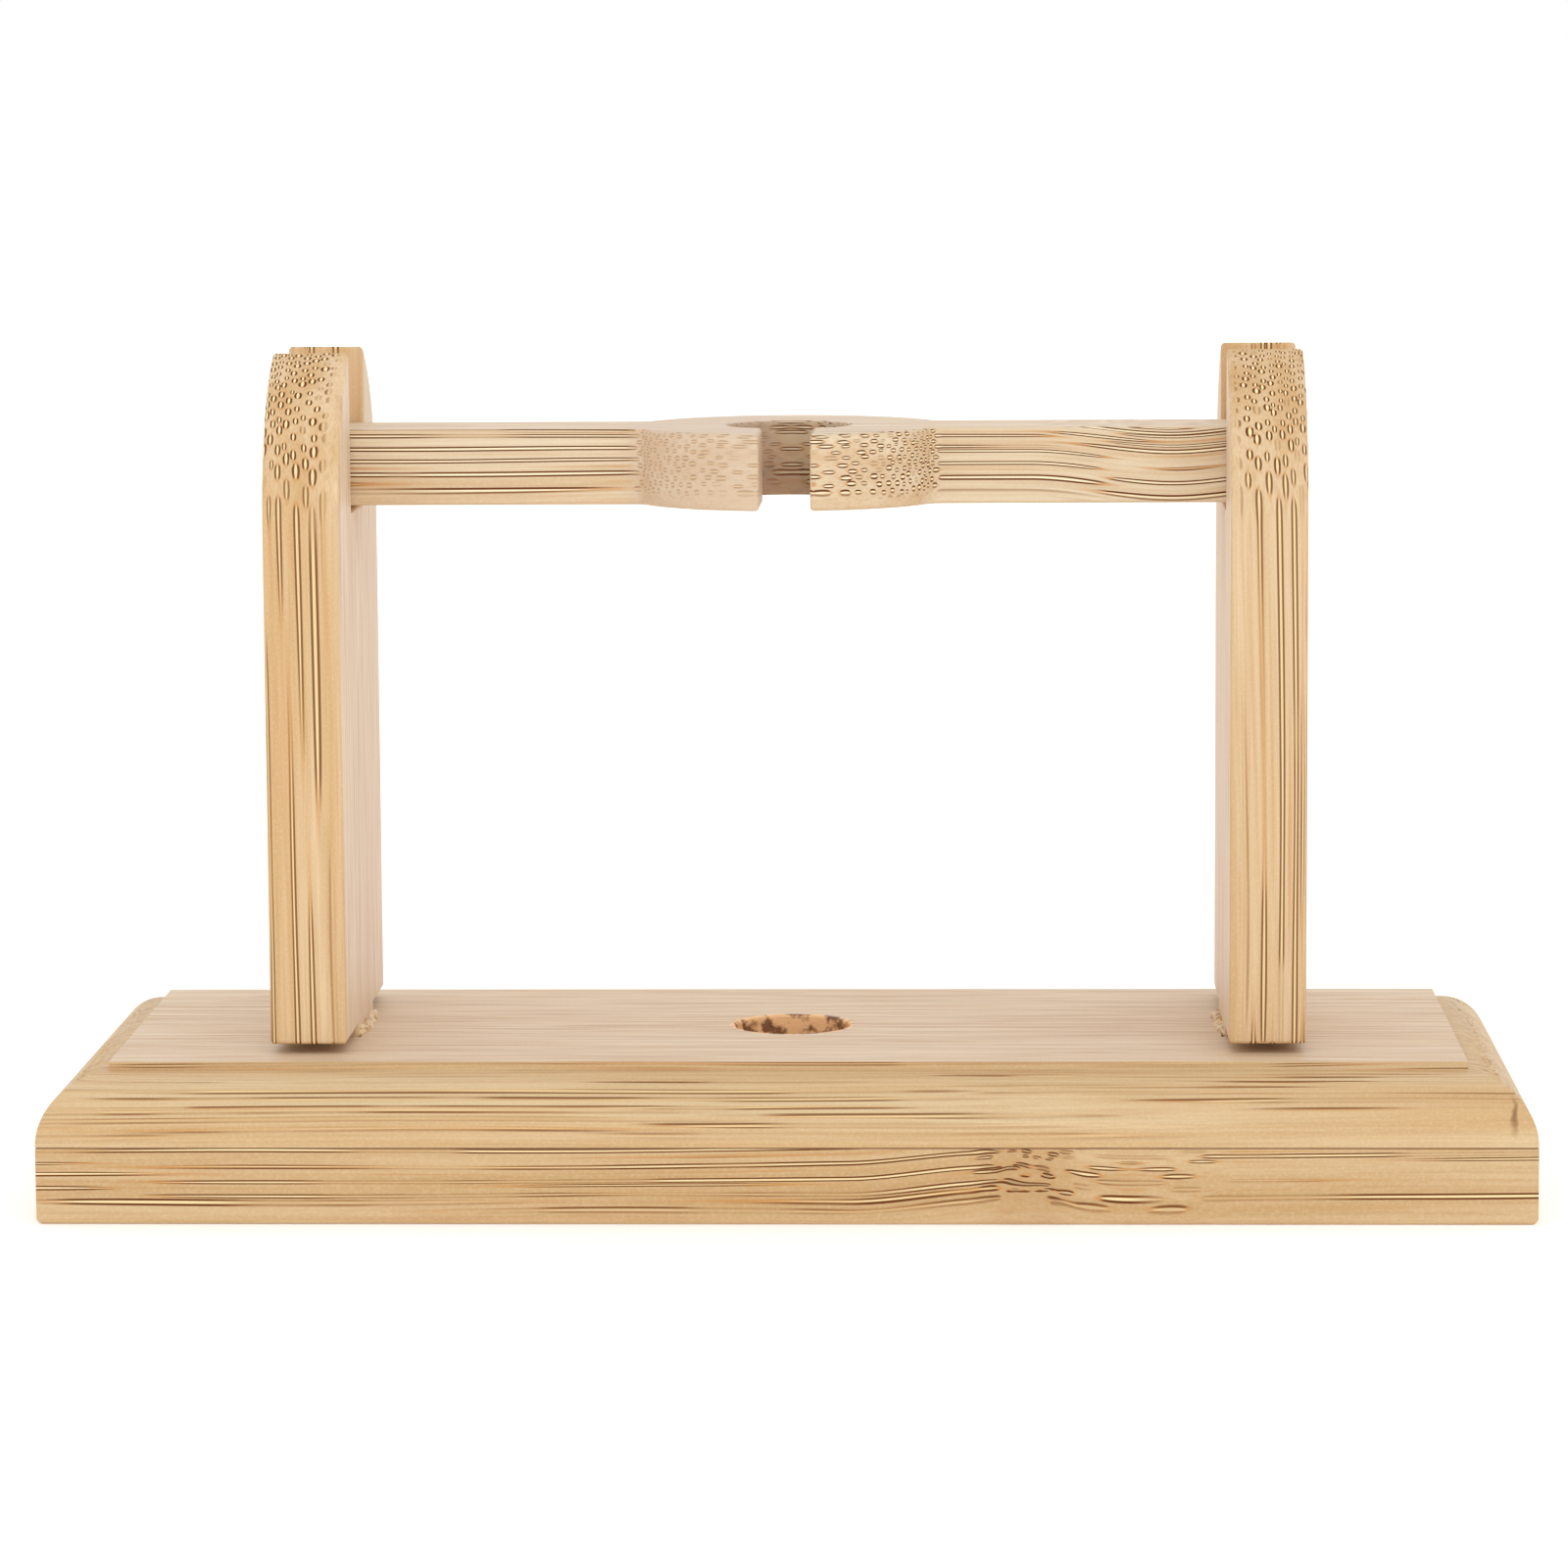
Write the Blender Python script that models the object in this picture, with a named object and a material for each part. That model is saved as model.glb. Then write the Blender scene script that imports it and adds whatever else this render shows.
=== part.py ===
"""Bamboo spindle stand for winding yarn.

A two-ply base board carries two uprights, each with an open fork at its head. A crossbar lies
in the two forks and lifts out upwards. The middle of the crossbar widens to a ring with an
open mouth, straight above a round socket in the base, so that a loose spindle can stand in the
socket and turn in the ring.

Metres, +Z up. The origin is the centre of the base's underside. +X runs along the base, and
the mouth of the ring opens towards -Y.
"""
import math

import bmesh
import bpy
from mathutils import Vector

# Gaps between touching pieces.
GLUE_LINE = 0.0003           # between the two plies of the base
FIT = 0.0003                 # round each tenon, and beside the crossbar in its forks

# Base board.
BASE_LENGTH = 0.145
BASE_DEPTH = 0.057
PLY = 0.0073                 # thickness of each ply
ROUNDOVER = 0.00635          # radius along the upper ply's top edges
PLATEAU_STEP = 0.00085       # small step between the roundover and the flat top
LEAST_EDGE = 0.0001          # upright edge that the roundover always leaves on its ply
FOOT_EASE = 0.0006           # sanded lower edges

# Socket in the base, for the foot of a spindle.
SOCKET_BORE = 0.0115
SOCKET_DEPTH = 0.010
SOCKET_SIDES = 48

# Uprights.
UPRIGHT_THICKNESS = 0.0075
UPRIGHT_DEPTH = 0.036
UPRIGHT_CLEAR = 0.0865       # clear distance between the two inner faces
UPRIGHT_CROWN = 0.0695       # top of the rounded head above the plateau, before the fork is cut
SHOULDER_GAP = 0.001         # the shoulders stand this far above the plateau
TENON_WIDTH = 0.015
MORTISE_DEPTH = 0.010
EDGE_EASE = 0.0006           # sanded long edges
CROWN_SIDES = 32             # flats in half a turn of the head

# Crossbar.
BAR_HEIGHT = 0.0075
BAR_DEPTH = 0.0122
BAR_UNDERSIDE = 0.0531       # above the plateau
BAR_SEAT_GAP = 0.0005        # dark gap under the bar at the bottom of each fork
RING_DIAMETER = 0.0315
RING_BORE = 0.012            # guides the spindle, with running room
RING_MOUTH = 0.005           # width of the open slot at the front of the ring
RING_FILLET = 0.0015         # hollow corner where the ring leaves the bar
BAR_EASE = 0.0004
RING_SIDES = 72              # flats in a full turn of the ring

# Worked out from the sizes above.
PLATEAU = 2 * PLY + GLUE_LINE
UPPER_PLY_FLOOR = PLY + GLUE_LINE
UPRIGHT_CENTRE = (UPRIGHT_CLEAR + UPRIGHT_THICKNESS) / 2
FORK_WIDTH = BAR_DEPTH + 2 * FIT
BAR_LENGTH = UPRIGHT_CLEAR + 2 * UPRIGHT_THICKNESS
OVERCUT = 0.001              # how far a cutter runs past the face it opens


def arc(centre, radius, start, end, steps):
    """Points on a circle from one angle to another, both ends included."""
    angles = (start + (end - start) * step / steps for step in range(steps + 1))
    return [(centre[0] + radius * math.cos(a), centre[1] + radius * math.sin(a)) for a in angles]


def mirrored(points):
    """The same points on the other side of the second axis, in reverse order."""
    return [(-first, second) for first, second in reversed(points)]


def new_collection(name):
    collection = bpy.data.collections.new(name)
    bpy.context.scene.collection.children.link(collection)
    return collection


def new_object(name, mesh, collection, parent=None):
    piece = bpy.data.objects.new(name, mesh)
    piece.parent = parent
    collection.objects.link(piece)
    return piece


def new_empty(name, location, collection, parent=None):
    empty = new_object(name, None, collection, parent)
    empty.empty_display_size = 0.01
    empty.location = location
    return empty


def bamboo(name, colour):
    """Sanded bamboo with a thin clear coat."""
    material = bpy.data.materials.new(name)
    material.use_nodes = True
    shader = material.node_tree.nodes["Principled BSDF"]
    shader.inputs["Base Color"].default_value = (*colour, 1)
    shader.inputs["Roughness"].default_value = 0.5
    shader.inputs["Metallic"].default_value = 0
    return material


def box_mesh(name, size, floor, edit=None):
    """A box centred on the Z axis that stands at the height given as floor."""
    mesh = bpy.data.meshes.new(name)
    bm = bmesh.new()
    bmesh.ops.create_cube(bm, size=1)
    bmesh.ops.scale(bm, vec=size, verts=bm.verts)
    bmesh.ops.translate(bm, vec=(0, 0, floor + size[2] / 2), verts=bm.verts)
    if edit:
        edit(bm)
    bm.to_mesh(mesh)
    bm.free()
    return mesh


def rim_edges(bm, side):
    """Edges between the faces that point along side and their neighbours."""
    faces = {face for face in bm.faces if face.normal.dot(side) > 0.99}
    return [edge for edge in bm.edges if sum(face in faces for face in edge.link_faces) == 1]


def bevel(bm, edges, width, segments):
    bmesh.ops.bevel(bm, geom=edges, affect="EDGES", offset=width, offset_type="OFFSET",
                    segments=segments, profile=0.5, material=-1, clamp_overlap=True)


def prism_mesh(name, outline, thickness, ease, keep_sharp_below=None):
    """A flat outline made solid, centred on its own plane, with both rims eased.

    Rim edges that lie below keep_sharp_below on the second axis stay sharp.
    """
    curve = bpy.data.curves.new(name, "CURVE")
    curve.dimensions = "2D"
    curve.fill_mode = "BOTH"
    curve.extrude = thickness / 2
    spline = curve.splines.new("POLY")
    spline.points.add(len(outline) - 1)
    for point, (first, second) in zip(spline.points, outline):
        point.co = (first, second, 0, 1)
    spline.use_cyclic_u = True
    flat = bpy.data.objects.new(name, curve)
    bpy.context.scene.collection.objects.link(flat)
    evaluated = flat.evaluated_get(bpy.context.evaluated_depsgraph_get())
    mesh = bpy.data.meshes.new_from_object(evaluated)
    bpy.data.objects.remove(flat)
    bpy.data.curves.remove(curve)
    mesh.name = name

    bm = bmesh.new()
    bm.from_mesh(mesh)
    bmesh.ops.remove_doubles(bm, verts=bm.verts, dist=0.00001)
    bmesh.ops.dissolve_limit(bm, angle_limit=math.radians(0.5), verts=bm.verts, edges=bm.edges)
    bmesh.ops.recalc_face_normals(bm, faces=bm.faces)
    rims = rim_edges(bm, Vector((0, 0, 1))) + rim_edges(bm, Vector((0, 0, -1)))
    if keep_sharp_below is not None:
        rims = [edge for edge in rims if min(v.co.y for v in edge.verts) > keep_sharp_below]
    bevel(bm, rims, ease, 2)
    bm.to_mesh(mesh)
    bm.free()
    return mesh


def shade(piece, material):
    piece.data.materials.clear()
    piece.data.materials.append(material)
    piece.data.shade_smooth()
    piece.data.set_sharp_from_angle(angle=math.radians(30))


def cut(piece, cutters):
    for cutter in cutters:
        boolean = piece.modifiers.new(cutter.name, "BOOLEAN")
        boolean.operation = "DIFFERENCE"
        boolean.object = cutter


def as_cutter(name, mesh, collection, parent, location=(0, 0, 0)):
    cutter = new_object(name, mesh, collection, parent)
    cutter.location = location
    cutter.hide_render = True
    cutter.display_type = "WIRE"
    return cutter


def base_cutters(collection, stand):
    """The socket for the spindle's foot and a mortise for each upright's tenon."""
    depth = SOCKET_DEPTH + OVERCUT
    mesh = bpy.data.meshes.new("socket_cutter")
    bm = bmesh.new()
    bmesh.ops.create_cone(bm, cap_ends=True, segments=SOCKET_SIDES, radius1=SOCKET_BORE / 2,
                          radius2=SOCKET_BORE / 2, depth=depth)
    bm.to_mesh(mesh)
    bm.free()
    socket_centre = (0, 0, PLATEAU - SOCKET_DEPTH + depth / 2)
    cutters = [as_cutter("socket_cutter", mesh, collection, stand, socket_centre)]

    size = (UPRIGHT_THICKNESS + 2 * FIT, TENON_WIDTH + 2 * FIT, MORTISE_DEPTH + OVERCUT)
    for side, sign in (("left", -1), ("right", 1)):
        name = side + "_mortise_cutter"
        mesh = box_mesh(name, size, PLATEAU - MORTISE_DEPTH)
        cutters.append(as_cutter(name, mesh, collection, stand, (sign * UPRIGHT_CENTRE, 0, 0)))
    return cutters


def lower_ply(collection, stand, cutters):
    def ease_foot(bm):
        bevel(bm, rim_edges(bm, Vector((0, 0, -1))), FOOT_EASE, 2)

    mesh = box_mesh("base_lower_ply", (BASE_LENGTH, BASE_DEPTH, PLY), 0, ease_foot)
    piece = new_object("base_lower_ply", mesh, collection, stand)
    shade(piece, bamboo("bamboo_lower_ply", (0.62, 0.40, 0.20)))
    cut(piece, cutters)


def upper_ply(collection, stand, cutters):
    """The upper ply, with a roundover on its top edges and a small step up to the plateau."""
    radius = min(ROUNDOVER, PLY - PLATEAU_STEP - LEAST_EDGE)

    def round_and_step(bm):
        bevel(bm, rim_edges(bm, Vector((0, 0, 1))), radius, 10)
        top = [face for face in bm.faces if face.normal.z > 0.99]
        raised = bmesh.ops.extrude_face_region(bm, geom=top)
        verts = [item for item in raised["geom"] if isinstance(item, bmesh.types.BMVert)]
        bmesh.ops.translate(bm, vec=(0, 0, PLATEAU_STEP), verts=verts)
        bmesh.ops.delete(bm, geom=top, context="FACES_ONLY")

    size = (BASE_LENGTH, BASE_DEPTH, PLY - PLATEAU_STEP)
    mesh = box_mesh("base_upper_ply", size, UPPER_PLY_FLOOR, round_and_step)
    piece = new_object("base_upper_ply", mesh, collection, stand)
    shade(piece, bamboo("bamboo_upper_ply", (0.66, 0.44, 0.24)))
    cut(piece, cutters)


def upright_outline():
    """Side view of an upright: tenon, shoulders, round head and the open fork in it.

    The first axis runs along the board's depth and the second upwards from the plateau.
    """
    half = UPRIGHT_DEPTH / 2
    head = UPRIGHT_CROWN - half
    tip = math.acos(FORK_WIDTH / UPRIGHT_DEPTH)
    right = [(TENON_WIDTH / 2, FIT - MORTISE_DEPTH), (TENON_WIDTH / 2, SHOULDER_GAP),
             (half, SHOULDER_GAP)]
    right += arc((0, head), half, 0, tip, round(CROWN_SIDES * tip / math.pi))
    right.append((FORK_WIDTH / 2, BAR_UNDERSIDE - BAR_SEAT_GAP))
    return right + mirrored(right)


def uprights(collection, stand):
    for side, sign in (("left", -1), ("right", 1)):
        name = side + "_upright"
        mesh = prism_mesh(name, upright_outline(), UPRIGHT_THICKNESS, EDGE_EASE, SHOULDER_GAP / 2)
        piece = new_object(name, mesh, collection, stand)
        piece.location = (sign * UPRIGHT_CENTRE, 0, PLATEAU)
        piece.rotation_euler = (math.pi / 2, 0, math.pi / 2)
        shade(piece, bamboo("bamboo_" + name, (0.64, 0.42, 0.23)))


def crossbar_outline():
    """Top view of the crossbar: straight arms, the ring, its bore and its mouth."""
    half = BAR_DEPTH / 2
    end = BAR_LENGTH / 2
    ring = RING_DIAMETER / 2
    bore = RING_BORE / 2
    mouth = RING_MOUTH / 2

    # A hollow fillet touches the bar's edge and the ring from outside.
    fillet_height = half + RING_FILLET
    fillet_x = math.sqrt((ring + RING_FILLET) ** 2 - fillet_height ** 2)
    touch = math.atan2(fillet_height, fillet_x)

    ring_mouth = math.asin(mouth / ring)
    bore_mouth = math.asin(mouth / bore)
    front_steps = round(RING_SIDES * (math.pi / 2 - touch - ring_mouth) / (2 * math.pi))
    back_steps = round(RING_SIDES * (math.pi / 2 - touch) / (2 * math.pi))
    bore_steps = round(RING_SIDES * (math.pi - bore_mouth) / (2 * math.pi))

    right = arc((0, 0), bore, math.pi / 2, -math.pi / 2 + bore_mouth, bore_steps)
    right += arc((0, 0), ring, -math.pi / 2 + ring_mouth, -touch, front_steps)
    right += arc((fillet_x, -fillet_height), RING_FILLET, math.pi - touch, math.pi / 2, 4)
    right += [(end, -half), (end, half)]
    right += arc((fillet_x, fillet_height), RING_FILLET, -math.pi / 2, touch - math.pi, 4)
    right += arc((0, 0), ring, touch, math.pi / 2, back_steps)
    # The two halves share the points on the centre line, at the bore and at the ring's back.
    return right[1:] + mirrored(right[:-1])


def crossbar(collection, stand):
    lift = new_empty("crossbar_lift", (0, 0, PLATEAU + BAR_UNDERSIDE), collection, stand)
    mesh = prism_mesh("crossbar", crossbar_outline(), BAR_HEIGHT, BAR_EASE)
    piece = new_object("crossbar", mesh, collection, lift)
    piece.location = (0, 0, BAR_HEIGHT / 2)
    shade(piece, bamboo("bamboo_crossbar", (0.66, 0.46, 0.27)))


def main():
    for old in list(bpy.data.objects):
        bpy.data.objects.remove(old)
    collection = new_collection("yarn_spindle_stand")
    cutter_collection = new_collection("cutters")
    stand = new_empty("stand", (0, 0, 0), collection)
    cutters = base_cutters(cutter_collection, stand)
    lower_ply(collection, stand, cutters)
    upper_ply(collection, stand, cutters)
    uprights(collection, stand)
    crossbar(collection, stand)


main()
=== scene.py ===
"""The looks of a small bamboo yarn stand: two-ply base, two forked uprights, a lift-out crossbar.

Every board is flat-pressed bamboo. Its fibres run along the board, its thickness is the
thickness of the culm's wall, and the bundles of fibres are dense towards the culm's skin. One
solid pattern in millimetres gives long streaks on the faces and eyes on the end grain.
"""
import math

import bmesh
import bpy
from mathutils import Matrix, Quaternion, Vector, noise


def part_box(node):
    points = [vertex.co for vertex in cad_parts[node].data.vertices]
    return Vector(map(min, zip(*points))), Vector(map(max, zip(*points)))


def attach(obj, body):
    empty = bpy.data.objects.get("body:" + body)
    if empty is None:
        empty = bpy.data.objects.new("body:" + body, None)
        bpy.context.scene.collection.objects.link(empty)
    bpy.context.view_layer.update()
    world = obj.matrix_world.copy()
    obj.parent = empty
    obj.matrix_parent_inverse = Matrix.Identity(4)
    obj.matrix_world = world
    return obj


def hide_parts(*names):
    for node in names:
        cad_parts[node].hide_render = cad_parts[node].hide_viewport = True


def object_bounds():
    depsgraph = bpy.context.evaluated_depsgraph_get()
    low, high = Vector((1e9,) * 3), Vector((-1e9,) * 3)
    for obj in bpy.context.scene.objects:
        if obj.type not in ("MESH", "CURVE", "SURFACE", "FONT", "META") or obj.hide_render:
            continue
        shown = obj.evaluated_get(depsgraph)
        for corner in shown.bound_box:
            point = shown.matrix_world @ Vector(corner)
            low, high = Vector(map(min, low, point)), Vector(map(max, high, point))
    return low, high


MM = 0.001

# Shapes that the frame's boxes don't give.
ROUNDOVER = 6.35 * MM
PLATEAU_STEP = 0.85 * MM
FOOT_EASE = 0.6 * MM
SOCKET_BORE = 11.5 * MM
SOCKET_DEPTH = 10 * MM
SOCKET_RIM_EASE = 0.3 * MM
TENON_WIDTH = 15 * MM
MORTISE_DEPTH = 10 * MM
SHOULDER_GAP = 1 * MM
FIT = 0.3 * MM
UPRIGHT_EASE = 0.6 * MM
BAR_DEPTH = 12.2 * MM
BAR_SEAT_GAP = 0.5 * MM
RING_DIAMETER = 31.5 * MM
RING_BORE = 12 * MM
RING_MOUTH = 5 * MM
RING_FILLET = 1.5 * MM
BAR_EASE = 0.4 * MM
GLUE_LINE = 0.14 * MM
GLUE_INSET = 0.10 * MM
BEAD_SIZE = Vector((0.75, 7.4, 0.7)) * MM
BEAD_LUMP = 1.3 * MM         # distance between lumps
BEAD_ROUGHNESS = 0.55 * MM
TINY = 0.01 * MM

# How finely round shapes are drawn.
SOCKET_FLATS = 96
BORE_FLATS = 80
RING_BACK_FLATS = 64
LOBE_FLATS = 32
FILLET_FLATS = 8
HEAD_FLATS = 40
TABLE_FLATS = 64
ROUNDOVER_SEGMENTS = 20
EASE_SEGMENTS = 4
RIM_SEGMENTS = 3
BEAD_SUBDIVISIONS = 5
SANDED_CORNER = math.radians(50)    # edges sharper than this are eased
SHARP_EDGE = math.radians(40)       # edges sharper than this are shaded sharp

# The pattern in the bamboo, in millimetres.
BOARD_SPACING = 71.3                # from one board's stretch of the pattern to the next
WANDER = Vector((0, 2.4, 2.0))      # how far a bundle strays across the board and in depth
ROW_RATE = 1.08                     # rows of bundles in one pitch, at the board's middle
ROW_CROWDING = 0.05                 # half of what that gains with each millimetre to the skin
BARE_INSIDE = (-3.0, -1.8)          # from no bundles at the culm's inside to all of them
# The wide faces' pale pink, partly their own tone and partly a painted sheen, spans this range:
PINK_AND_SHEEN_DEPTH = (3.2, 3.5)            # from the ledge's distance to a wide face's, off the middle

# A bundle's parts: how narrow and how flat each is against the pitch; how far its middle is
# moved, on the same measure; and where its soft edge starts and ends.
BUNDLE_PARTS = {"core": ((4.3, 7.0, 0), (0, 0, 0), (0.75, 1.1)),
                "cap": ((4.4, 5.7, 0), (0, -1.03, 0), (0.75, 1.2)),
                "halo": ((2.5, 2.5, 0), (0, 0, 0), (0.4, 1.0))}

CAP_BROWN = "#683403"
HALO_OCHRE = "#C47F2A"
THREAD_BROWN = "#B07F47"
GRIT_CREAM = "#F0DDBE"
# Pale pink of the wide faces: partly their own tone, partly a painted sheen.
PINK_TONE_AND_SHEEN = "#EDDBC6"
# Grey of sanding dust, darkened with painted shade.
DUST_AND_SHADE_GREY = "#D3BBA4"
KNOT_STAIN = "#B98F60"
CRACK_BROWN = "#6E4016"

# The room, and the place that the stand is looked at from.
TABLE_RADIUS = 60
TABLE_GLOW = 0.22
ROOM_BRIGHTNESS = 1.0
KEY_BRIGHTNESS = 0.32
KEY_SOFTNESS = math.radians(50)
KEY_DIRECTION = Vector((-0.25, 0.8, -0.5))
CAMERA_PLACE = Vector((0.0187, -0.5765, 0.1115))
CAMERA_YAW = math.radians(1.93)
CAMERA_PITCH = math.radians(7.13)
CAMERA_ROLL = math.radians(-0.35)
CAMERA_LENS = 132.75
SENSOR_WIDTH = 36


# ---------------------------------------------------------------- drawing meshes

def line_to(bm, start, end):
    """Draws an edge from a vertex to a place, and returns the new vertex."""
    new = bmesh.ops.extrude_vert_indiv(bm, verts=[start])["verts"][0]
    new.co = end
    return new


def arc_to(bm, start, centre, axis, angle, steps):
    """Draws an arc of a few steps from a vertex round an axis, and returns its last vertex."""
    turned = bmesh.ops.spin(bm, geom=[start], cent=centre, axis=axis, angle=angle, steps=steps,
                            use_merge=False, use_duplicate=False)
    return next(item for item in turned["geom_last"] if isinstance(item, bmesh.types.BMVert))


def thicken(bm, along):
    """Closes the drawn outline, fills it and makes it solid along a vector."""
    bmesh.ops.remove_doubles(bm, verts=bm.verts, dist=TINY / 2)
    bmesh.ops.contextual_create(bm, geom=bm.edges)
    raised = bmesh.ops.extrude_face_region(bm, geom=bm.faces, use_keep_orig=True)
    bmesh.ops.translate(bm, vec=along, verts=[v for v in raised["geom"]
                                              if isinstance(v, bmesh.types.BMVert)])
    bmesh.ops.recalc_face_normals(bm, faces=bm.faces)


def bevel(bm, edges, width, segments):
    """Rounds edges over a width."""
    bmesh.ops.bevel(bm, geom=edges, affect="EDGES", offset=width, offset_type="OFFSET",
                    segments=segments, profile=0.5, material=-1, clamp_overlap=True)


def outer_corners(bm):
    """The sharp edges that sandpaper reaches."""
    return [edge for edge in bm.edges if edge.is_manifold and edge.is_convex
            and edge.calc_face_angle() > SANDED_CORNER]


def level_edges(bm, height):
    """The edges that lie at a height."""
    return [edge for edge in bm.edges if all(abs(v.co.z - height) < TINY for v in edge.verts)]


def level_face(bm, height, up):
    """The largest flat face at a height that looks up (1) or down (-1)."""
    bm.normal_update()
    return max((face for face in bm.faces if face.normal.z * up > 0.999
                and all(abs(v.co.z - height) < TINY for v in face.verts)),
               key=lambda face: face.calc_area())


def block(low, high):
    """A box from its lowest to its highest corner."""
    bm = bmesh.new()
    bmesh.ops.create_cube(bm, size=1)
    bmesh.ops.scale(bm, vec=high - low, verts=bm.verts)
    bmesh.ops.translate(bm, vec=(low + high) / 2, verts=bm.verts)
    return bm


def open_holes(bm, top, under, socket_floor, mortise_floor):
    """Cuts the socket and the two mortises down into a board from its flat top.

    A hole whose floor is the board's underside goes right through. Returns the socket's rim.
    Each hole is drawn with a radius of one, and a mortise is a circle of four flats.
    """
    faces = [level_face(bm, top, 1), level_face(bm, under, -1)]
    top_rims, under_rims = [list(face.edges) for face in faces]
    bmesh.ops.delete(bm, geom=faces, context="FACES_ONLY")
    socket = Matrix.Translation((0, 0, top)) @ Matrix.Scale(SOCKET_BORE / 2, 4)
    holes = [(socket, SOCKET_FLATS, socket_floor)]
    for sign in (-1, 1):
        size = Matrix.Diagonal((upright_thickness + 2 * FIT, TENON_WIDTH + 2 * FIT, 1, 1))
        holes.append((Matrix.Translation((sign * upright_x, 0, top)) @ size
                      @ Matrix.Rotation(math.pi / 4, 4, "Z") @ Matrix.Scale(math.sqrt(0.5), 4),
                      4, mortise_floor))
    socket_rim = None
    for place, sides, floor in holes:
        made = bmesh.ops.create_circle(bm, cap_ends=False, radius=1, segments=sides, matrix=place)
        rim = list({edge for vert in made["verts"] for edge in vert.link_edges})
        socket_rim = socket_rim or rim
        top_rims += rim
        wall = bmesh.ops.extrude_edge_only(bm, edges=rim)["geom"]
        ends = {item for item in wall if isinstance(item, bmesh.types.BMVert)}
        bmesh.ops.translate(bm, vec=(0, 0, floor - top), verts=list(ends))
        foot = [item for item in wall if isinstance(item, bmesh.types.BMEdge)
                and ends.issuperset(item.verts)]
        if abs(floor - under) < TINY / 2:
            under_rims += foot
        else:
            bmesh.ops.contextual_create(bm, geom=foot)
    for rims, up in ((top_rims, 1), (under_rims, -1)):
        bmesh.ops.triangle_fill(bm, edges=rims, use_beauty=True, normal=(0, 0, up))
    bmesh.ops.recalc_face_normals(bm, faces=bm.faces)
    return socket_rim


def finish(bm, name, material, body, replaced=None):
    """Turns a bmesh into a piece on a body with a material, hiding any CAD node that it replaces.
    """
    bmesh.ops.dissolve_degenerate(bm, dist=TINY / 10, edges=bm.edges)
    bmesh.ops.recalc_face_normals(bm, faces=bm.faces)
    mesh = bpy.data.meshes.new(name)
    bm.to_mesh(mesh)
    bm.free()
    mesh.materials.append(material)
    mesh.shade_smooth()
    mesh.set_sharp_from_angle(angle=SHARP_EDGE)
    piece = bpy.data.objects.new(name, mesh)
    bpy.context.scene.collection.objects.link(piece)
    flatten = piece.modifiers.new("flat_faces_look_flat", "WEIGHTED_NORMAL")
    flatten.keep_sharp = True
    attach(piece, body)
    if replaced:
        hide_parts(replaced)


# ---------------------------------------------------------------- materials

def linear(colour):
    """An sRGB hex value as linear red, green, blue and alpha."""
    parts = [int(colour[at:at + 2], 16) / 255 for at in (1, 3, 5)]
    return [p / 12.92 if p <= 0.04045 else ((p + 0.055) / 1.055) ** 2.4 for p in parts] + [1]


def add(tree, kind, inputs, out=0, **settings):
    """Adds a node with its settings, joins or sets its inputs, and returns one output."""
    new = tree.nodes.new("ShaderNode" + kind)
    for name, value in settings.items():
        setattr(new, name, value)
    for key, value in (inputs.items() if isinstance(inputs, dict) else enumerate(inputs)):
        if isinstance(value, bpy.types.NodeSocket):
            tree.links.new(value, new.inputs[key])
        else:
            new.inputs[key].default_value = value
    return new.outputs[out]


def start_material(name):
    """A new material, its tree of nodes and its shader."""
    material = bpy.data.materials.new(name)
    material.use_nodes = True
    return material, material.node_tree, material.node_tree.nodes["Principled BSDF"]


def stretch(tree, place, at, reach, start, full):
    """A mask along the board: 1 round a place, fading smoothly to 0 at its reach in mm.

    start and full are the shares of the way from the reach's end to the place at which the mask
    leaves 0 and gets to 1.
    """
    mask = add(tree, "Mapping", {"Vector": place, "Location": (-at / reach, 0, 0),
                                 "Scale": (1 / reach, 0, 0)})
    mask = add(tree, "TexGradient", {"Vector": mask}, gradient_type="SPHERICAL", out="Fac")
    return add(tree, "MapRange", (mask, start, full, 0.0, 1.0),
               interpolation_type="SMOOTHSTEP")


def lay_fibres(tree, place, seed, runout, bows, knot):
    """Where each point lies among the fibres, and how much of it is in the culm's joint.

    X runs along the fibres, Y across them and Z towards the culm's skin.
    """
    tilt = [0, math.radians(runout[0]), math.radians(runout[1])]
    fibre = add(tree, "Mapping", {"Vector": place, "Rotation": tilt,
                                  "Location": (0, BOARD_SPACING * seed, 0)})

    # The bundles wander, so that each streak starts and ends somewhere.
    drift = add(tree, "Mapping", {"Vector": fibre, "Scale": (0.012, 0.07, 0.10)})
    drift = add(tree, "TexNoise", {"Vector": drift, "Scale": 1, "Detail": 1.5}, out="Color")
    grain = add(tree, "VectorMath", (drift, WANDER, fibre), operation="MULTIPLY_ADD")
    grain = add(tree, "VectorMath", (grain, WANDER / 2), operation="SUBTRACT")

    # Where the culm was bent, they bow.
    for at, reach, rise, shift in bows:
        bend = stretch(tree, place, at, reach, 0.0, 1.0)
        bend = add(tree, "CombineXYZ", (bend, bend, bend))
        grain = add(tree, "VectorMath", (bend, (0, shift, -rise), grain),
                    operation="MULTIPLY_ADD")
    if not knot:
        return grain, None

    # At the culm's joint they swirl and break up.
    at, reach, power = knot
    knotty = stretch(tree, place, at, reach, 0.0, 0.7)
    swirl = add(tree, "Mapping", {"Vector": fibre, "Scale": (0.22, 0.30, 0.42)})
    swirl = add(tree, "TexNoise", {"Vector": swirl, "Scale": 1, "Detail": 1}, out="Color")
    swirl = add(tree, "VectorMath", (swirl, (0, 2 * power, power), (0, -power, -0.62 * power)),
                operation="MULTIPLY_ADD")
    swirl = add(tree, "VectorMath", {0: swirl, "Scale": knotty}, operation="SCALE")
    grain = add(tree, "VectorMath", (grain, swirl), operation="ADD")
    return grain, knotty


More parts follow.
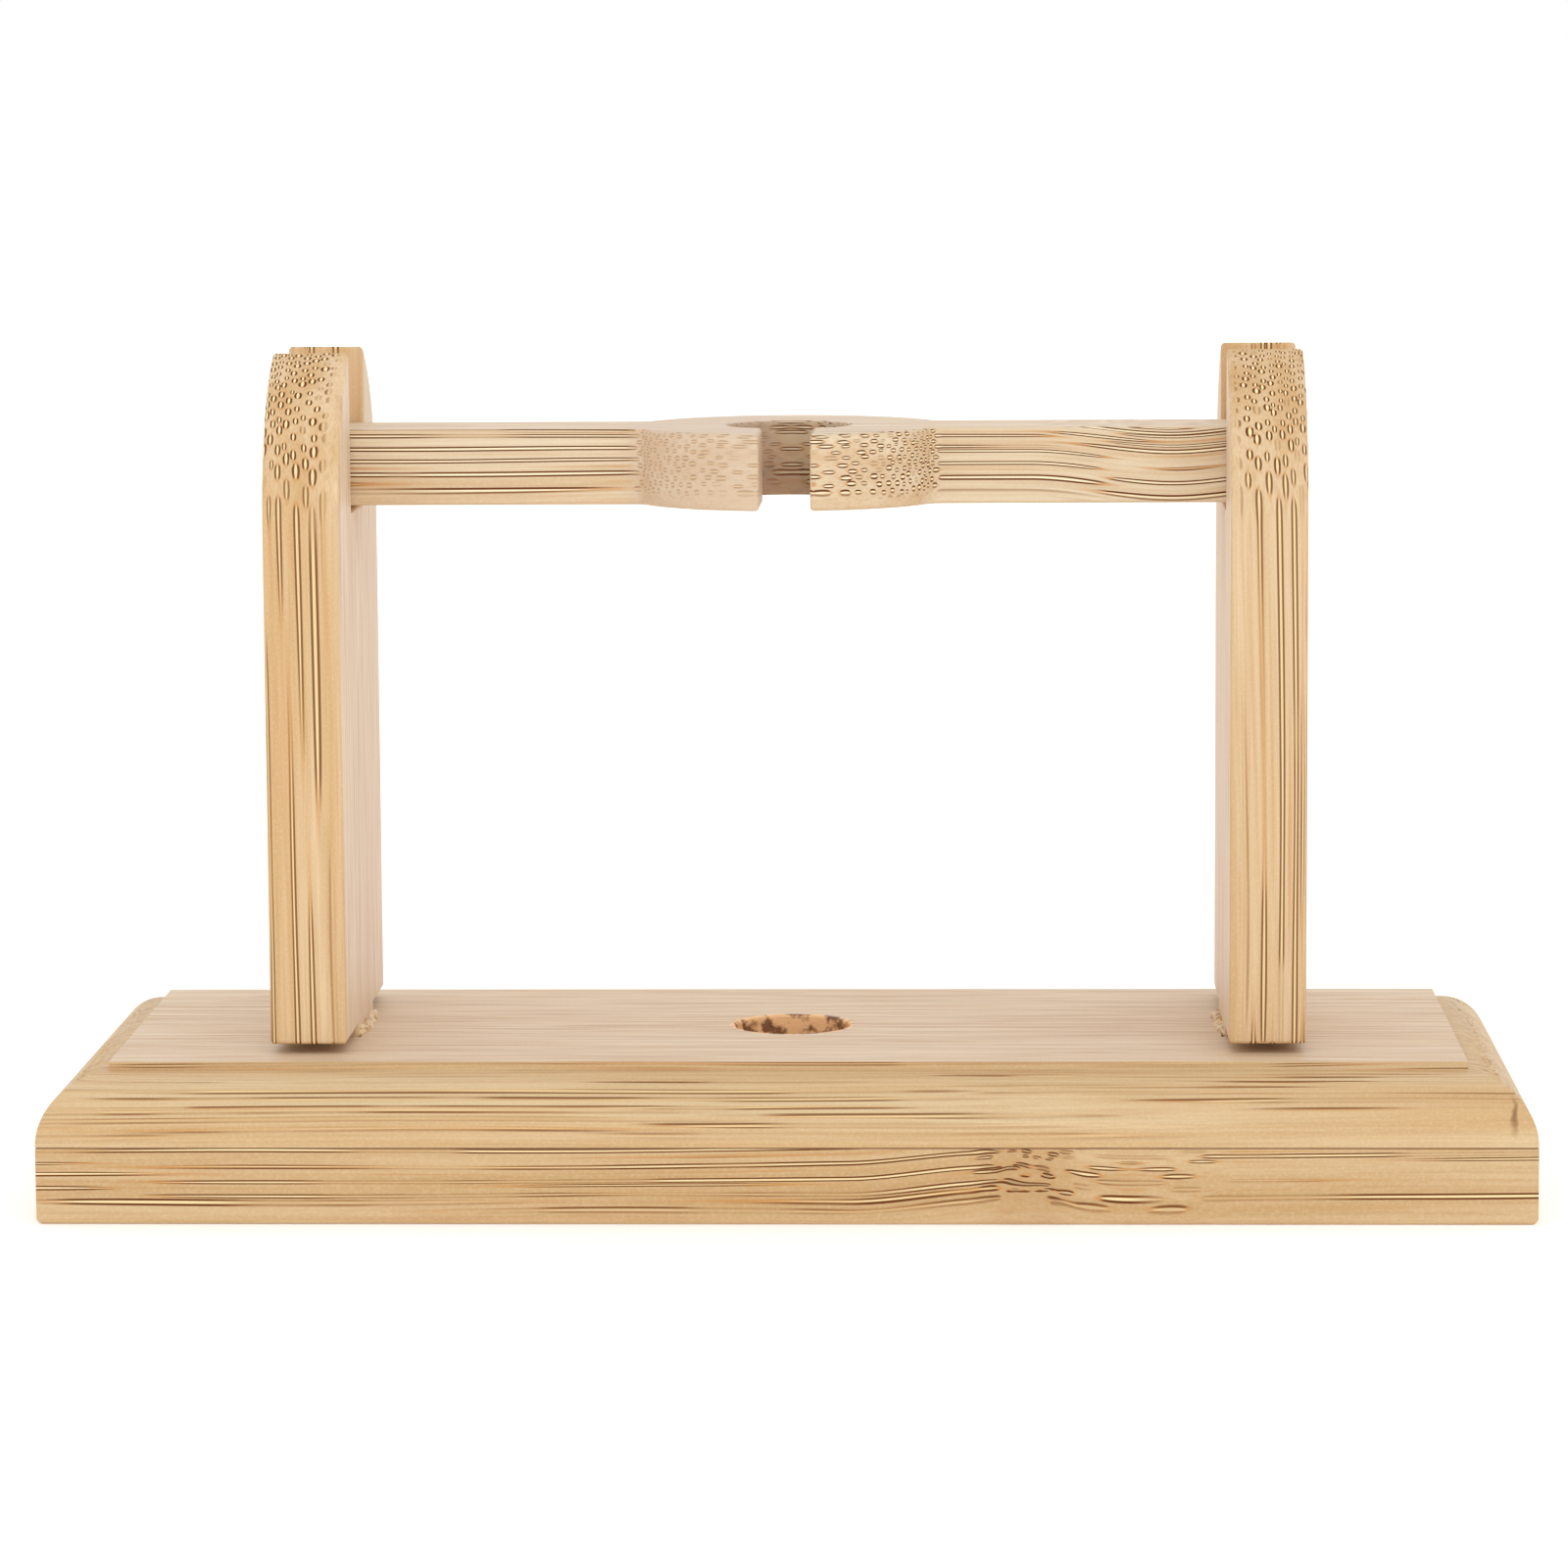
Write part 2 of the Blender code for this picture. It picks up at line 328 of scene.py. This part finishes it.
def draw_bundles(tree, axes, pitch):
    """Each bundle is a pale core held between two dark caps, in a brownish halo.

    Returns a mask for each of the three, and three chances that each bundle draws.
    """
    # They stand in staggered rows, closer together towards the skin.
    crowd = add(tree, "Math", (axes[2], ROW_CROWDING / pitch, ROW_RATE / pitch),
                operation="MULTIPLY_ADD")
    rows = add(tree, "Math", (axes[2], crowd), operation="MULTIPLY")
    column = add(tree, "Math", (axes[1], 1 / pitch), operation="MULTIPLY")
    lean = add(tree, "Math", (rows, 0.5, column), operation="MULTIPLY_ADD")
    lattice = add(tree, "CombineXYZ", (lean, rows))
    cells = add(tree, "TexVoronoi", {"Vector": lattice, "Scale": 1, "Randomness": 0.4},
                voronoi_dimensions="2D").node.outputs
    chance = add(tree, "SeparateColor", (cells["Color"],)).node.outputs

    # A point's place in its bundle, upright again, for a bundle of 0.8 to 1.3 times the usual.
    offset = add(tree, "VectorMath", (lattice, cells["Position"]), operation="SUBTRACT")
    offset = add(tree, "SeparateXYZ", (offset,)).node.outputs
    side = add(tree, "Math", (offset[1], -0.5, offset[0]), operation="MULTIPLY_ADD")
    size = add(tree, "Math", (chance[0], 0.5, 0.8), operation="MULTIPLY_ADD")
    size = add(tree, "Math", (1, size), operation="DIVIDE")
    eye = add(tree, "CombineXYZ", (side, offset[1]))
    eye = add(tree, "VectorMath", {0: eye, "Scale": size}, operation="SCALE")
    eye = add(tree, "VectorMath", (eye,), operation="ABSOLUTE")

    masks = {}
    for part, (narrowness, middle, edge) in BUNDLE_PARTS.items():
        mask = add(tree, "VectorMath", (eye, narrowness, middle), operation="MULTIPLY_ADD")
        mask = add(tree, "VectorMath", (mask,), operation="LENGTH", out="Value")
        masks[part] = add(tree, "MapRange", (mask, edge[0], edge[1], 1.0, 0.0),
                          interpolation_type="SMOOTHSTEP")
    return masks, chance


def fade_bundles(tree, axes, chance, sparse):
    """Each bundle fades in and out along its length, and the culm's inside has none."""
    length = add(tree, "CombineXYZ", (axes[0], chance[1], chance[2]))
    length = add(tree, "Mapping", {"Vector": length, "Scale": (0.045, 53, 31)})
    length = add(tree, "TexNoise", {"Vector": length, "Scale": 1, "Detail": 1})
    length = add(tree, "MapRange", (length, 0.36 + sparse, 0.47 + sparse, 0.25, 1.0),
                 interpolation_type="SMOOTHSTEP")
    depth = add(tree, "MapRange", (axes[2], BARE_INSIDE[0], BARE_INSIDE[1], 0.0, 1.0))
    return add(tree, "Math", (length, depth), operation="MULTIPLY")


def ground_tissue(tree, place, grain, wide, narrow, pale, deep):
    """Broad strips of two tones, fine fibres, and the grit of a sanded surface.

    The wide faces, which run between the bundles, are plainer, with more of the fine fibres,
    and a paler pink, partly their own tone and partly a painted sheen. Returns the colour and
    the pattern of the fine fibres.
    """
    strips = add(tree, "Mapping", {"Vector": grain, "Scale": (0.010, 0.22, 0.42)})
    strips = add(tree, "TexNoise", {"Vector": strips, "Scale": 1, "Detail": 3})
    strips = add(tree, "MapRange", (strips, 0.34, 0.68, 0.0, 1.0),
                 interpolation_type="SMOOTHSTEP")
    strips = add(tree, "Math", (strips, narrow), operation="MULTIPLY")
    tone = add(tree, "Mix", {0: strips, 6: linear(pale), 7: linear(deep)}, out=2,
               data_type="RGBA")

    # The wide faces get a pale pink tint, partly their own tone and partly a painted sheen.
    # The ledge round the plateau is cut by a router and stays as golden as the edges.
    sanded = add(tree, "SeparateXYZ", (place,), out=2)
    sanded = add(tree, "Math", (sanded,), operation="ABSOLUTE")
    sanded = add(tree, "MapRange", (sanded, PINK_AND_SHEEN_DEPTH[0], PINK_AND_SHEEN_DEPTH[1], 0.0, 0.70))
    sanded = add(tree, "Math", (wide, sanded), operation="MULTIPLY")
    tone = add(tree, "Mix", {0: sanded, 6: tone, 7: linear(PINK_TONE_AND_SHEEN)}, out=2,
               data_type="RGBA")

    threads = add(tree, "Mapping", {"Vector": grain, "Scale": (0.05, 3.6, 3.6)})
    threads = add(tree, "TexNoise", {"Vector": threads, "Scale": 1, "Detail": 3,
                                     "Roughness": 0.6})
    dark_threads = add(tree, "MapRange", (threads, 0.42, 0.72, 0.0, 0.32))
    more = add(tree, "Math", (wide, 1.3, 1.0), operation="MULTIPLY_ADD")
    dark_threads = add(tree, "Math", (dark_threads, more), operation="MULTIPLY")
    tone = add(tree, "Mix", {0: dark_threads, 6: tone, 7: linear(THREAD_BROWN)}, out=2,
               data_type="RGBA")

    grit = add(tree, "Mapping", {"Vector": place, "Scale": (3.0, 5.0, 5.0)})
    grit = add(tree, "TexNoise", {"Vector": grit, "Scale": 1, "Detail": 1})
    grit = add(tree, "MapRange", (grit, 0.45, 0.75, 0.0, 0.16))
    tone = add(tree, "Mix", {0: grit, 6: tone, 7: linear(GRIT_CREAM)}, out=2,
               data_type="RGBA")
    return tone, threads


def drying_crack(tree, place, tone, at):
    """A short, ragged crack down the board's front at a place along it."""
    ragged = add(tree, "TexNoise", {"Vector": place, "Scale": 0.5, "Detail": 2}, out="Color")
    crack = add(tree, "VectorMath", (ragged, (1.6, 0, 0), place), operation="MULTIPLY_ADD")
    middle = (at + 0.8, cad_box[0].y / MM, 0.4)
    crack = add(tree, "VectorMath", (crack, middle), operation="SUBTRACT")
    crack = add(tree, "VectorMath", (crack, (2.4, 0.5, 0.34)), operation="MULTIPLY")
    crack = add(tree, "VectorMath", (crack,), operation="LENGTH", out="Value")
    crack = add(tree, "MapRange", (crack, 0.3, 1.1, 0.9, 0.0))
    return add(tree, "Mix", {0: crack, 6: tone, 7: linear(CRACK_BROWN)}, out=2,
               data_type="RGBA")


def tinted_bore_wall(tree, point, place, tone, bore_tint, bore_tones):
    """The wall of the hole on the stand's axis: blotches of two tones, darker towards its foot."""
    axis = add(tree, "VectorMath", (point, (1, 1, 0)), operation="MULTIPLY")
    axis = add(tree, "VectorMath", (axis,), operation="LENGTH", out="Value")
    bore_tinted = add(tree, "MapRange", (axis, RING_BORE / 2 + 0.1 * MM, RING_BORE / 2 + 0.5 * MM,
                                   bore_tint, 0.0), interpolation_type="SMOOTHSTEP")
    under = add(tree, "SeparateXYZ", (place,), out=2)
    under = add(tree, "MapRange", (under, -1.5, 1.5, 1.0, 0.6), interpolation_type="SMOOTHSTEP")
    bore_tinted = add(tree, "Math", (bore_tinted, under), operation="MULTIPLY")
    blotch = add(tree, "TexNoise", {"Vector": place, "Scale": 0.6, "Detail": 3})
    blotch = add(tree, "MapRange", (blotch, 0.42, 0.52, 0.0, 1.0))
    blotch = add(tree, "Mix", {0: blotch, 6: linear(bore_tones[0]), 7: linear(bore_tones[1])}, out=2,
                 data_type="RGBA")
    return add(tree, "Mix", {0: bore_tinted, 6: tone, 7: blotch}, out=2, data_type="RGBA")


def bamboo(name, turn, middle, seed, pale, deep, runout, sparse, end_grain, bright="#F6DDA9",
           pitch=0.88, show=0.8, bows=(), knot=None, crack=None, dust_and_shade_patch=None, bore_tint=1.3,
           bore_tones=("#642A10", "#FFCE98")):
    """Sanded, unvarnished bamboo: dry and matt, with a pale sheen at a shallow angle.

    turn and middle lay the pattern in the board: fibres along X, width along Y, the culm's skin
    towards +Z and the board's middle at the origin. All measures are in mm, and a place is a
    distance along the board from its middle.
    seed: which stretch of bamboo the board was cut from.
    pale, deep and bright: the ground's two tones and the bundles' cores.
    runout: the angle in degrees between the fibres and the board, from its front and from above.
    sparse: how many more of the bundles fade out.
    show and end_grain: how plainly the bundles show, and how much of that where they are cut
    across.
    pitch: the distance between bundles.
    bows: bends of the fibres, each a place, a reach, a rise and a shift across the board.
    knot: the culm's joint, as a place, a reach and how far the fibres swirl.
    crack: the place of a short drying crack on the front.
    bleached: the place and reach of a part where sanding dust fills the bundles, darkened
    further with painted shade.
    scorch and char: how strongly the wall of the hole on the stand's axis is tinted, darker
    towards its foot, and its two tones.
    """
    material, tree, shader = start_material(name)
    point = add(tree, "TexCoord", {}, out="Object")
    place = add(tree, "VectorMath", (point, middle), operation="SUBTRACT")
    place = add(tree, "Mapping", {"Vector": place, "Rotation": turn,
                                  "Scale": (1 / MM, 1 / MM, 1 / MM)})
    grain, knotty = lay_fibres(tree, place, seed, runout, bows, knot)
    axes = add(tree, "SeparateXYZ", (grain,)).node.outputs

    # The wide faces are cut between the bundles, and the ends across them.
    facing = add(tree, "TexCoord", {}, out="Normal")
    facing = add(tree, "Mapping", {"Vector": facing, "Rotation": turn})
    facing = add(tree, "VectorMath", (facing,), operation="ABSOLUTE")
    facing = add(tree, "SeparateXYZ", (facing,)).node.outputs
    wide = add(tree, "MapRange", (facing[2], 0.97, 0.998, 0.0, 1.0),
               interpolation_type="SMOOTHSTEP")
    narrow = add(tree, "Math", (wide, -0.80, 1.0), operation="MULTIPLY_ADD")
    across = add(tree, "MapRange", (facing[0], 0.2, 0.6, show, show * end_grain))

    masks, chance = draw_bundles(tree, axes, pitch)
    strength = fade_bundles(tree, axes, chance, sparse)
    strength = add(tree, "Math", (strength, narrow), operation="MULTIPLY")
    strength = add(tree, "Math", (strength, across), operation="MULTIPLY")
    tone, threads = ground_tissue(tree, place, grain, wide, narrow, pale, deep)
    # Sanding dust plainer in the bundles, and painted shade that darkens the part.
    if dust_and_shade_patch:
        dusty_and_shaded = stretch(tree, place, dust_and_shade_patch[0], dust_and_shade_patch[1], 0.05, 0.35)
        clean = add(tree, "Math", (dusty_and_shaded, -0.75, 1.0), operation="MULTIPLY_ADD")
        strength = add(tree, "Math", (strength, clean), operation="MULTIPLY")
        dust = add(tree, "Math", (dusty_and_shaded, 0.55), operation="MULTIPLY")
        tone = add(tree, "Mix", {0: dust, 6: tone, 7: linear(DUST_AND_SHADE_GREY)}, out=2,
                   data_type="RGBA")
    core, cap, halo = [add(tree, "Math", (masks[part], strength), operation="MULTIPLY")
                       for part in ("core", "cap", "halo")]
    if knot:
        bolder = add(tree, "Math", (knotty, 0.8, 1.0), operation="MULTIPLY_ADD")
        cap = add(tree, "Math", (cap, bolder), operation="MULTIPLY")
        duller = add(tree, "Math", (knotty, -0.6, 1.0), operation="MULTIPLY_ADD")
        core = add(tree, "Math", (core, duller), operation="MULTIPLY")
        stain = add(tree, "Math", (knotty, 0.30), operation="MULTIPLY")
        tone = add(tree, "Mix", {0: stain, 6: tone, 7: linear(KNOT_STAIN)}, out=2,
                   data_type="RGBA")
    halo = add(tree, "Math", (halo, 0.80), operation="MULTIPLY")
    tone = add(tree, "Mix", {0: halo, 6: tone, 7: linear(HALO_OCHRE)}, out=2,
               data_type="RGBA")
    tone = add(tree, "Mix", {0: cap, 6: tone, 7: linear(CAP_BROWN)}, out=2, data_type="RGBA")
    core = add(tree, "Math", (core, 0.95), operation="MULTIPLY")
    tone = add(tree, "Mix", {0: core, 6: tone, 7: linear(bright)}, out=2, data_type="RGBA")
    if crack:
        tone = drying_crack(tree, place, tone, crack)
    tone = tinted_bore_wall(tree, point, place, tone, bore_tint, bore_tones)

    # Sandpaper wears the soft caps down a little and leaves the fine fibres standing.
    height = add(tree, "Math", (cap, -1.0, threads), operation="MULTIPLY_ADD")
    bump = add(tree, "Bump", {"Strength": 0.4, "Distance": 0.05 * MM, "Height": height})
    roughness = add(tree, "MapRange", (threads, 0.3, 0.7, 0.42, 0.56))
    tree.links.new(tone, shader.inputs["Base Color"])
    tree.links.new(roughness, shader.inputs["Roughness"])
    tree.links.new(bump, shader.inputs["Normal"])
    shader.inputs["IOR"].default_value = 1.3
    return material


def wood_glue():
    """Dried wood glue that has soaked into cut edges: brown, blotched, half matt."""
    material, tree, shader = start_material("dried wood glue")
    place = add(tree, "TexCoord", {}, out="Object")
    blotch = add(tree, "TexNoise", {"Vector": place, "Scale": 0.4 / MM, "Detail": 2})
    tint = add(tree, "Mix", {0: blotch, 6: linear("#6A4423"), 7: linear("#A97B48")}, out=2,
               data_type="RGBA")
    tree.links.new(tint, shader.inputs["Base Color"])
    shader.inputs["Roughness"].default_value = 0.5
    return material


def squeezed_glue():
    """Wood glue full of sawdust, squeezed out of a joint: yellowish, blotched and lumpy."""
    material, tree, shader = start_material("squeezed-out wood glue")
    place = add(tree, "TexCoord", {}, out="Object")
    dust = add(tree, "TexNoise", {"Vector": place, "Scale": 1.8 / MM, "Detail": 3})
    blotch = add(tree, "MapRange", (dust, 0.38, 0.62, 0.0, 1.0))
    tint = add(tree, "Mix", {0: blotch, 6: linear("#B98C58"), 7: linear("#E9CFA3")}, out=2,
               data_type="RGBA")
    bump = add(tree, "Bump", {"Strength": 0.6, "Distance": 0.1 * MM, "Height": dust})
    tree.links.new(tint, shader.inputs["Base Color"])
    tree.links.new(bump, shader.inputs["Normal"])
    shader.inputs["Roughness"].default_value = 0.35
    return material


def lit_acrylic():
    """A matt white table top that is lit from below, which thins the shadows on it."""
    material, tree, shader = start_material("lit white acrylic")
    place = add(tree, "TexCoord", {}, out="Object")
    mottle = add(tree, "TexNoise", {"Vector": place, "Scale": 3, "Detail": 2})
    tint = add(tree, "Mix", {0: mottle, 6: linear("#F8F7F6"), 7: linear("#FBFBFA")}, out=2,
               data_type="RGBA")
    tree.links.new(tint, shader.inputs["Base Color"])
    shader.inputs["Roughness"].default_value = 0.9
    shader.inputs["Emission Color"].default_value = linear("#FFFFFF")
    shader.inputs["Emission Strength"].default_value = TABLE_GLOW
    return material


# ---------------------------------------------------------------- the pieces

def build_lower_ply(material):
    """The lower board. It fills its joint up to a thin line of glue."""
    low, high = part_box("base_lower_ply")
    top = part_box("base_upper_ply")[0].z - GLUE_LINE
    bm = block(low, Vector((high.x, high.y, top)))
    bevel(bm, level_edges(bm, low.z), FOOT_EASE, EASE_SEGMENTS)
    open_holes(bm, top, low.z, plateau - SOCKET_DEPTH, plateau - MORTISE_DEPTH)
    finish(bm, "base_lower_board", material, "stand", "base_lower_ply")


def build_upper_ply(material):
    """The upper board: a router's roundover, then a small step up to the flat plateau."""
    low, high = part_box("base_upper_ply")
    step = high.z - PLATEAU_STEP
    bm = block(low, Vector((high.x, high.y, step)))
    bevel(bm, level_edges(bm, step), ROUNDOVER, ROUNDOVER_SEGMENTS)
    flat = level_face(bm, step, 1)
    raised = bmesh.ops.extrude_face_region(bm, geom=[flat])["geom"]
    bmesh.ops.translate(bm, vec=(0, 0, PLATEAU_STEP),
                        verts=[v for v in raised if isinstance(v, bmesh.types.BMVert)])
    bmesh.ops.delete(bm, geom=[flat], context="FACES_ONLY")
    rim = open_holes(bm, high.z, low.z, low.z, low.z)
    bevel(bm, rim, SOCKET_RIM_EASE, RIM_SEGMENTS)
    finish(bm, "base_upper_board", material, "stand", "base_upper_ply")


def build_glue_line(material):
    """The film of glue between the two boards, a touch inside their edges."""
    low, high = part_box("base_upper_ply")
    inset = Vector((GLUE_INSET, GLUE_INSET, 0))
    bottom = low.z - GLUE_LINE + TINY
    top = low.z - TINY
    bm = block(Vector((low.x, low.y, bottom)) + inset, Vector((high.x, high.y, top)) - inset)
    open_holes(bm, top, bottom, bottom, bottom)
    finish(bm, "base_glue_line", material, "stand")


def build_upright(side, material):
    """Tenon, shoulders, rounded head and open fork, drawn from the side and made solid."""
    low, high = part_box(side + "_upright")
    half = (high.y - low.y) / 2
    fork = BAR_DEPTH / 2 + FIT
    fork_floor = bar_low.z - BAR_SEAT_GAP
    head = high.z - math.sqrt(half ** 2 - fork ** 2)
    shoulder = plateau + SHOULDER_GAP
    tenon = TENON_WIDTH / 2
    turn = math.acos(fork / half)
    bm = bmesh.new()
    first = bmesh.ops.create_vert(bm, co=(low.x, fork, fork_floor))["vert"][0]
    last = line_to(bm, first, (low.x, -fork, fork_floor))
    last = line_to(bm, last, (low.x, -fork, high.z))
    last = arc_to(bm, last, (0, 0, head), (1, 0, 0), turn, HEAD_FLATS)
    for y, z in ((-half, shoulder), (-tenon, shoulder), (-tenon, low.z), (tenon, low.z),
                 (tenon, shoulder), (half, shoulder), (half, head)):
        last = line_to(bm, last, (low.x, y, z))
    last = arc_to(bm, last, (0, 0, head), (1, 0, 0), turn, HEAD_FLATS)
    line_to(bm, last, (low.x, fork, fork_floor))
    thicken(bm, (high.x - low.x, 0, 0))
    bevel(bm, outer_corners(bm), UPRIGHT_EASE, EASE_SEGMENTS)
    finish(bm, side + "_upright_board", material, "stand", side + "_upright")


def build_glue_beads(material):
    """Lumpy beads of glue on both sides of each tenon, where it enters the base."""
    bm = bmesh.new()
    for x in (upright_low.x, upright_high.x, -upright_low.x, -upright_high.x):
        bead = bmesh.ops.create_icosphere(bm, subdivisions=BEAD_SUBDIVISIONS,
                                         radius=1)["verts"]
        bmesh.ops.scale(bm, vec=BEAD_SIZE, verts=bead)
        bmesh.ops.translate(bm, vec=(x, 0, plateau), verts=bead)
        bm.normal_update()
        for vert in bead:
            lump = noise.noise(vert.co / BEAD_LUMP) * BEAD_ROUGHNESS
            vert.co += vert.normal * lump
    finish(bm, "glue_beads", material, "stand")


def build_crossbar(material):
    """Straight arms and the open ring, drawn from above and made solid."""
    half = BAR_DEPTH / 2
    ring = RING_DIAMETER / 2
    bore = RING_BORE / 2
    floor = bar_low.z
    up = (0, 0, 1)
    middle = (0, 0, floor)
    quarter = math.pi / 2
    hollow_y = half + RING_FILLET
    hollow_x = math.sqrt((ring + RING_FILLET) ** 2 - hollow_y ** 2)
    touch = math.atan2(hollow_y, hollow_x)
    lip = quarter - math.asin(RING_MOUTH / 2 / ring)
    bore_lip = math.asin(RING_MOUTH / 2 / bore)
    bm = bmesh.new()

    # From the mouth's right lip round the right half, then over the left half to its left lip.
    lip_x = RING_MOUTH / 2
    first = bmesh.ops.create_vert(bm, co=(lip_x, -bore * math.cos(bore_lip), floor))["vert"][0]
    last = line_to(bm, first, (lip_x, -ring * math.sin(lip), floor))
    last = arc_to(bm, last, middle, up, lip - touch, LOBE_FLATS)
    last = arc_to(bm, last, (hollow_x, -hollow_y, floor), up, touch - quarter, FILLET_FLATS)
    for x, y in ((bar_high.x, -half), (bar_high.x, half), (hollow_x, half)):
        last = line_to(bm, last, (x, y, floor))
    last = arc_to(bm, last, (hollow_x, hollow_y, floor), up, touch - quarter, FILLET_FLATS)
    last = arc_to(bm, last, middle, up, 2 * (quarter - touch), RING_BACK_FLATS)
    last = arc_to(bm, last, (-hollow_x, hollow_y, floor), up, touch - quarter, FILLET_FLATS)
    for x, y in ((bar_low.x, half), (bar_low.x, -half), (-hollow_x, -half)):
        last = line_to(bm, last, (x, y, floor))
    last = arc_to(bm, last, (-hollow_x, -hollow_y, floor), up, touch - quarter, FILLET_FLATS)
    last = arc_to(bm, last, middle, up, lip - touch, LOBE_FLATS)
    last = line_to(bm, last, (-lip_x, -bore * math.cos(bore_lip), floor))
    arc_to(bm, last, middle, up, 2 * (bore_lip - math.pi), BORE_FLATS)
    thicken(bm, (0, 0, bar_high.z - floor))
    bevel(bm, outer_corners(bm), BAR_EASE, EASE_SEGMENTS)
    finish(bm, "crossbar_with_ring", material, "crossbar", "crossbar")


# ---------------------------------------------------------------- floor, light and camera

def build_floor(material):
    """The table, wide enough to meet the horizon."""
    bm = bmesh.new()
    bmesh.ops.create_circle(bm, cap_ends=True, radius=TABLE_RADIUS, segments=TABLE_FLATS)
    bmesh.ops.translate(bm, vec=(0, 0, -TINY), verts=bm.verts)
    mesh = bpy.data.meshes.new("floor")
    bm.to_mesh(mesh)
    bm.free()
    mesh.materials.append(material)
    floor = bpy.data.objects.new("floor", mesh)
    bpy.context.scene.collection.objects.link(floor)


def build_light():
    """A white room and one very soft key light from in front, above and slightly right."""
    world = bpy.data.worlds.new("white room")
    world.use_nodes = True
    walls = world.node_tree.nodes["Background"]
    walls.inputs["Color"].default_value = (1, 1, 1, 1)
    walls.inputs["Strength"].default_value = ROOM_BRIGHTNESS
    bpy.context.scene.world = world
    key = bpy.data.lights.new("key", "SUN")
    key.energy = KEY_BRIGHTNESS
    key.angle = KEY_SOFTNESS
    light = bpy.data.objects.new("key", key)
    light.rotation_euler = KEY_DIRECTION.to_track_quat("-Z", "Y").to_euler()
    bpy.context.scene.collection.objects.link(light)
    bpy.context.scene.view_settings.view_transform = "Standard"


def build_camera():
    """A long lens from in front, a little above and right of the middle."""
    data = bpy.data.cameras.new("camera")
    data.lens = CAMERA_LENS
    data.sensor_width = SENSOR_WIDTH
    data.clip_start = 0.01
    camera = bpy.data.objects.new("camera", data)
    look = Vector((-math.sin(CAMERA_YAW) * math.cos(CAMERA_PITCH),
                   math.cos(CAMERA_YAW) * math.cos(CAMERA_PITCH), -math.sin(CAMERA_PITCH)))
    turn = look.to_track_quat("-Z", "Y") @ Quaternion((0, 0, 1), CAMERA_ROLL)
    camera.location = CAMERA_PLACE
    camera.rotation_euler = turn.to_euler()
    bpy.context.scene.collection.objects.link(camera)
    bpy.context.scene.camera = camera


# ---------------------------------------------------------------- putting it together

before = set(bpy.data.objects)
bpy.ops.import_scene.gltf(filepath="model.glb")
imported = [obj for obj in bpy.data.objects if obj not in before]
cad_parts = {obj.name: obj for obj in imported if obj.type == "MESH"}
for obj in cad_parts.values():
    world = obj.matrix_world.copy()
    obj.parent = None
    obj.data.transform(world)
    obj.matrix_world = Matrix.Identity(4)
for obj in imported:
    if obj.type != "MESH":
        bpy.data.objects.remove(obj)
cad_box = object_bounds()
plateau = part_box("base_upper_ply")[1].z
bar_low, bar_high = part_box("crossbar")
upright_low, upright_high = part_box("right_upright")
upright_x = (upright_low.x + upright_high.x) / 2
upright_thickness = upright_high.x - upright_low.x

quarter_turn = math.pi / 2
build_camera()
build_light()
build_floor(lit_acrylic())
build_lower_ply(bamboo(
    "sanded bamboo, lower ply", turn=(0, 0, 0), middle=(0, 0, plateau / 4), seed=1,
    pale="#D3B58A", deep="#C7A373", pitch=0.82, runout=(0.2, 0.4), sparse=0.04, show=1.05,
    end_grain=0.3, bows=((20, 14, 1.0, 0.0), (33, 11, 0.0, 1.2)), knot=(23.5, 6, 1.6)))
build_upper_ply(bamboo(
    "sanded bamboo, upper ply", turn=(0, 0, 0), middle=(0, 0, 3 * plateau / 4), seed=2,
    pale="#DAC097", deep="#D0AC7B", runout=(0.2, 0.3), sparse=0.10, show=0.75, end_grain=0.4,
    crack=70.2))
build_glue_line(wood_glue())
build_upright("left", bamboo(
    "sanded bamboo, left upright", turn=(0, quarter_turn, 0), middle=(-upright_x, 0, plateau),
    seed=3, pale="#E3C69F", deep="#D2AC7A", bright="#FFE6AE", pitch=0.90, runout=(0.2, 0.2),
    sparse=-0.04, end_grain=1.45))
build_upright("right", bamboo(
    "sanded bamboo, right upright", turn=(0, -quarter_turn, 0), middle=(upright_x, 0, plateau),
    seed=4, pale="#DFC29B", deep="#CFA978", bright="#FFE6AE", pitch=0.90, runout=(0.2, 0.2),
    sparse=-0.04, end_grain=1.45))
build_glue_beads(squeezed_glue())
build_crossbar(bamboo(
    "sanded bamboo, crossbar", turn=(0, 0, 0), middle=(0, 0, (bar_low.z + bar_high.z) / 2),
    seed=5, pale="#E3D0B2", deep="#D6B993", bright="#FFEFC8", pitch=0.76, runout=(0.1, 0.25),
    sparse=-0.01, show=1.35, end_grain=0.9, bows=((38, 14, -1.3, 0.3),), dust_and_shade_patch=(-8.5, 9),
    bore_tint=0.6, bore_tones=("#5E3820", "#7C5133")))
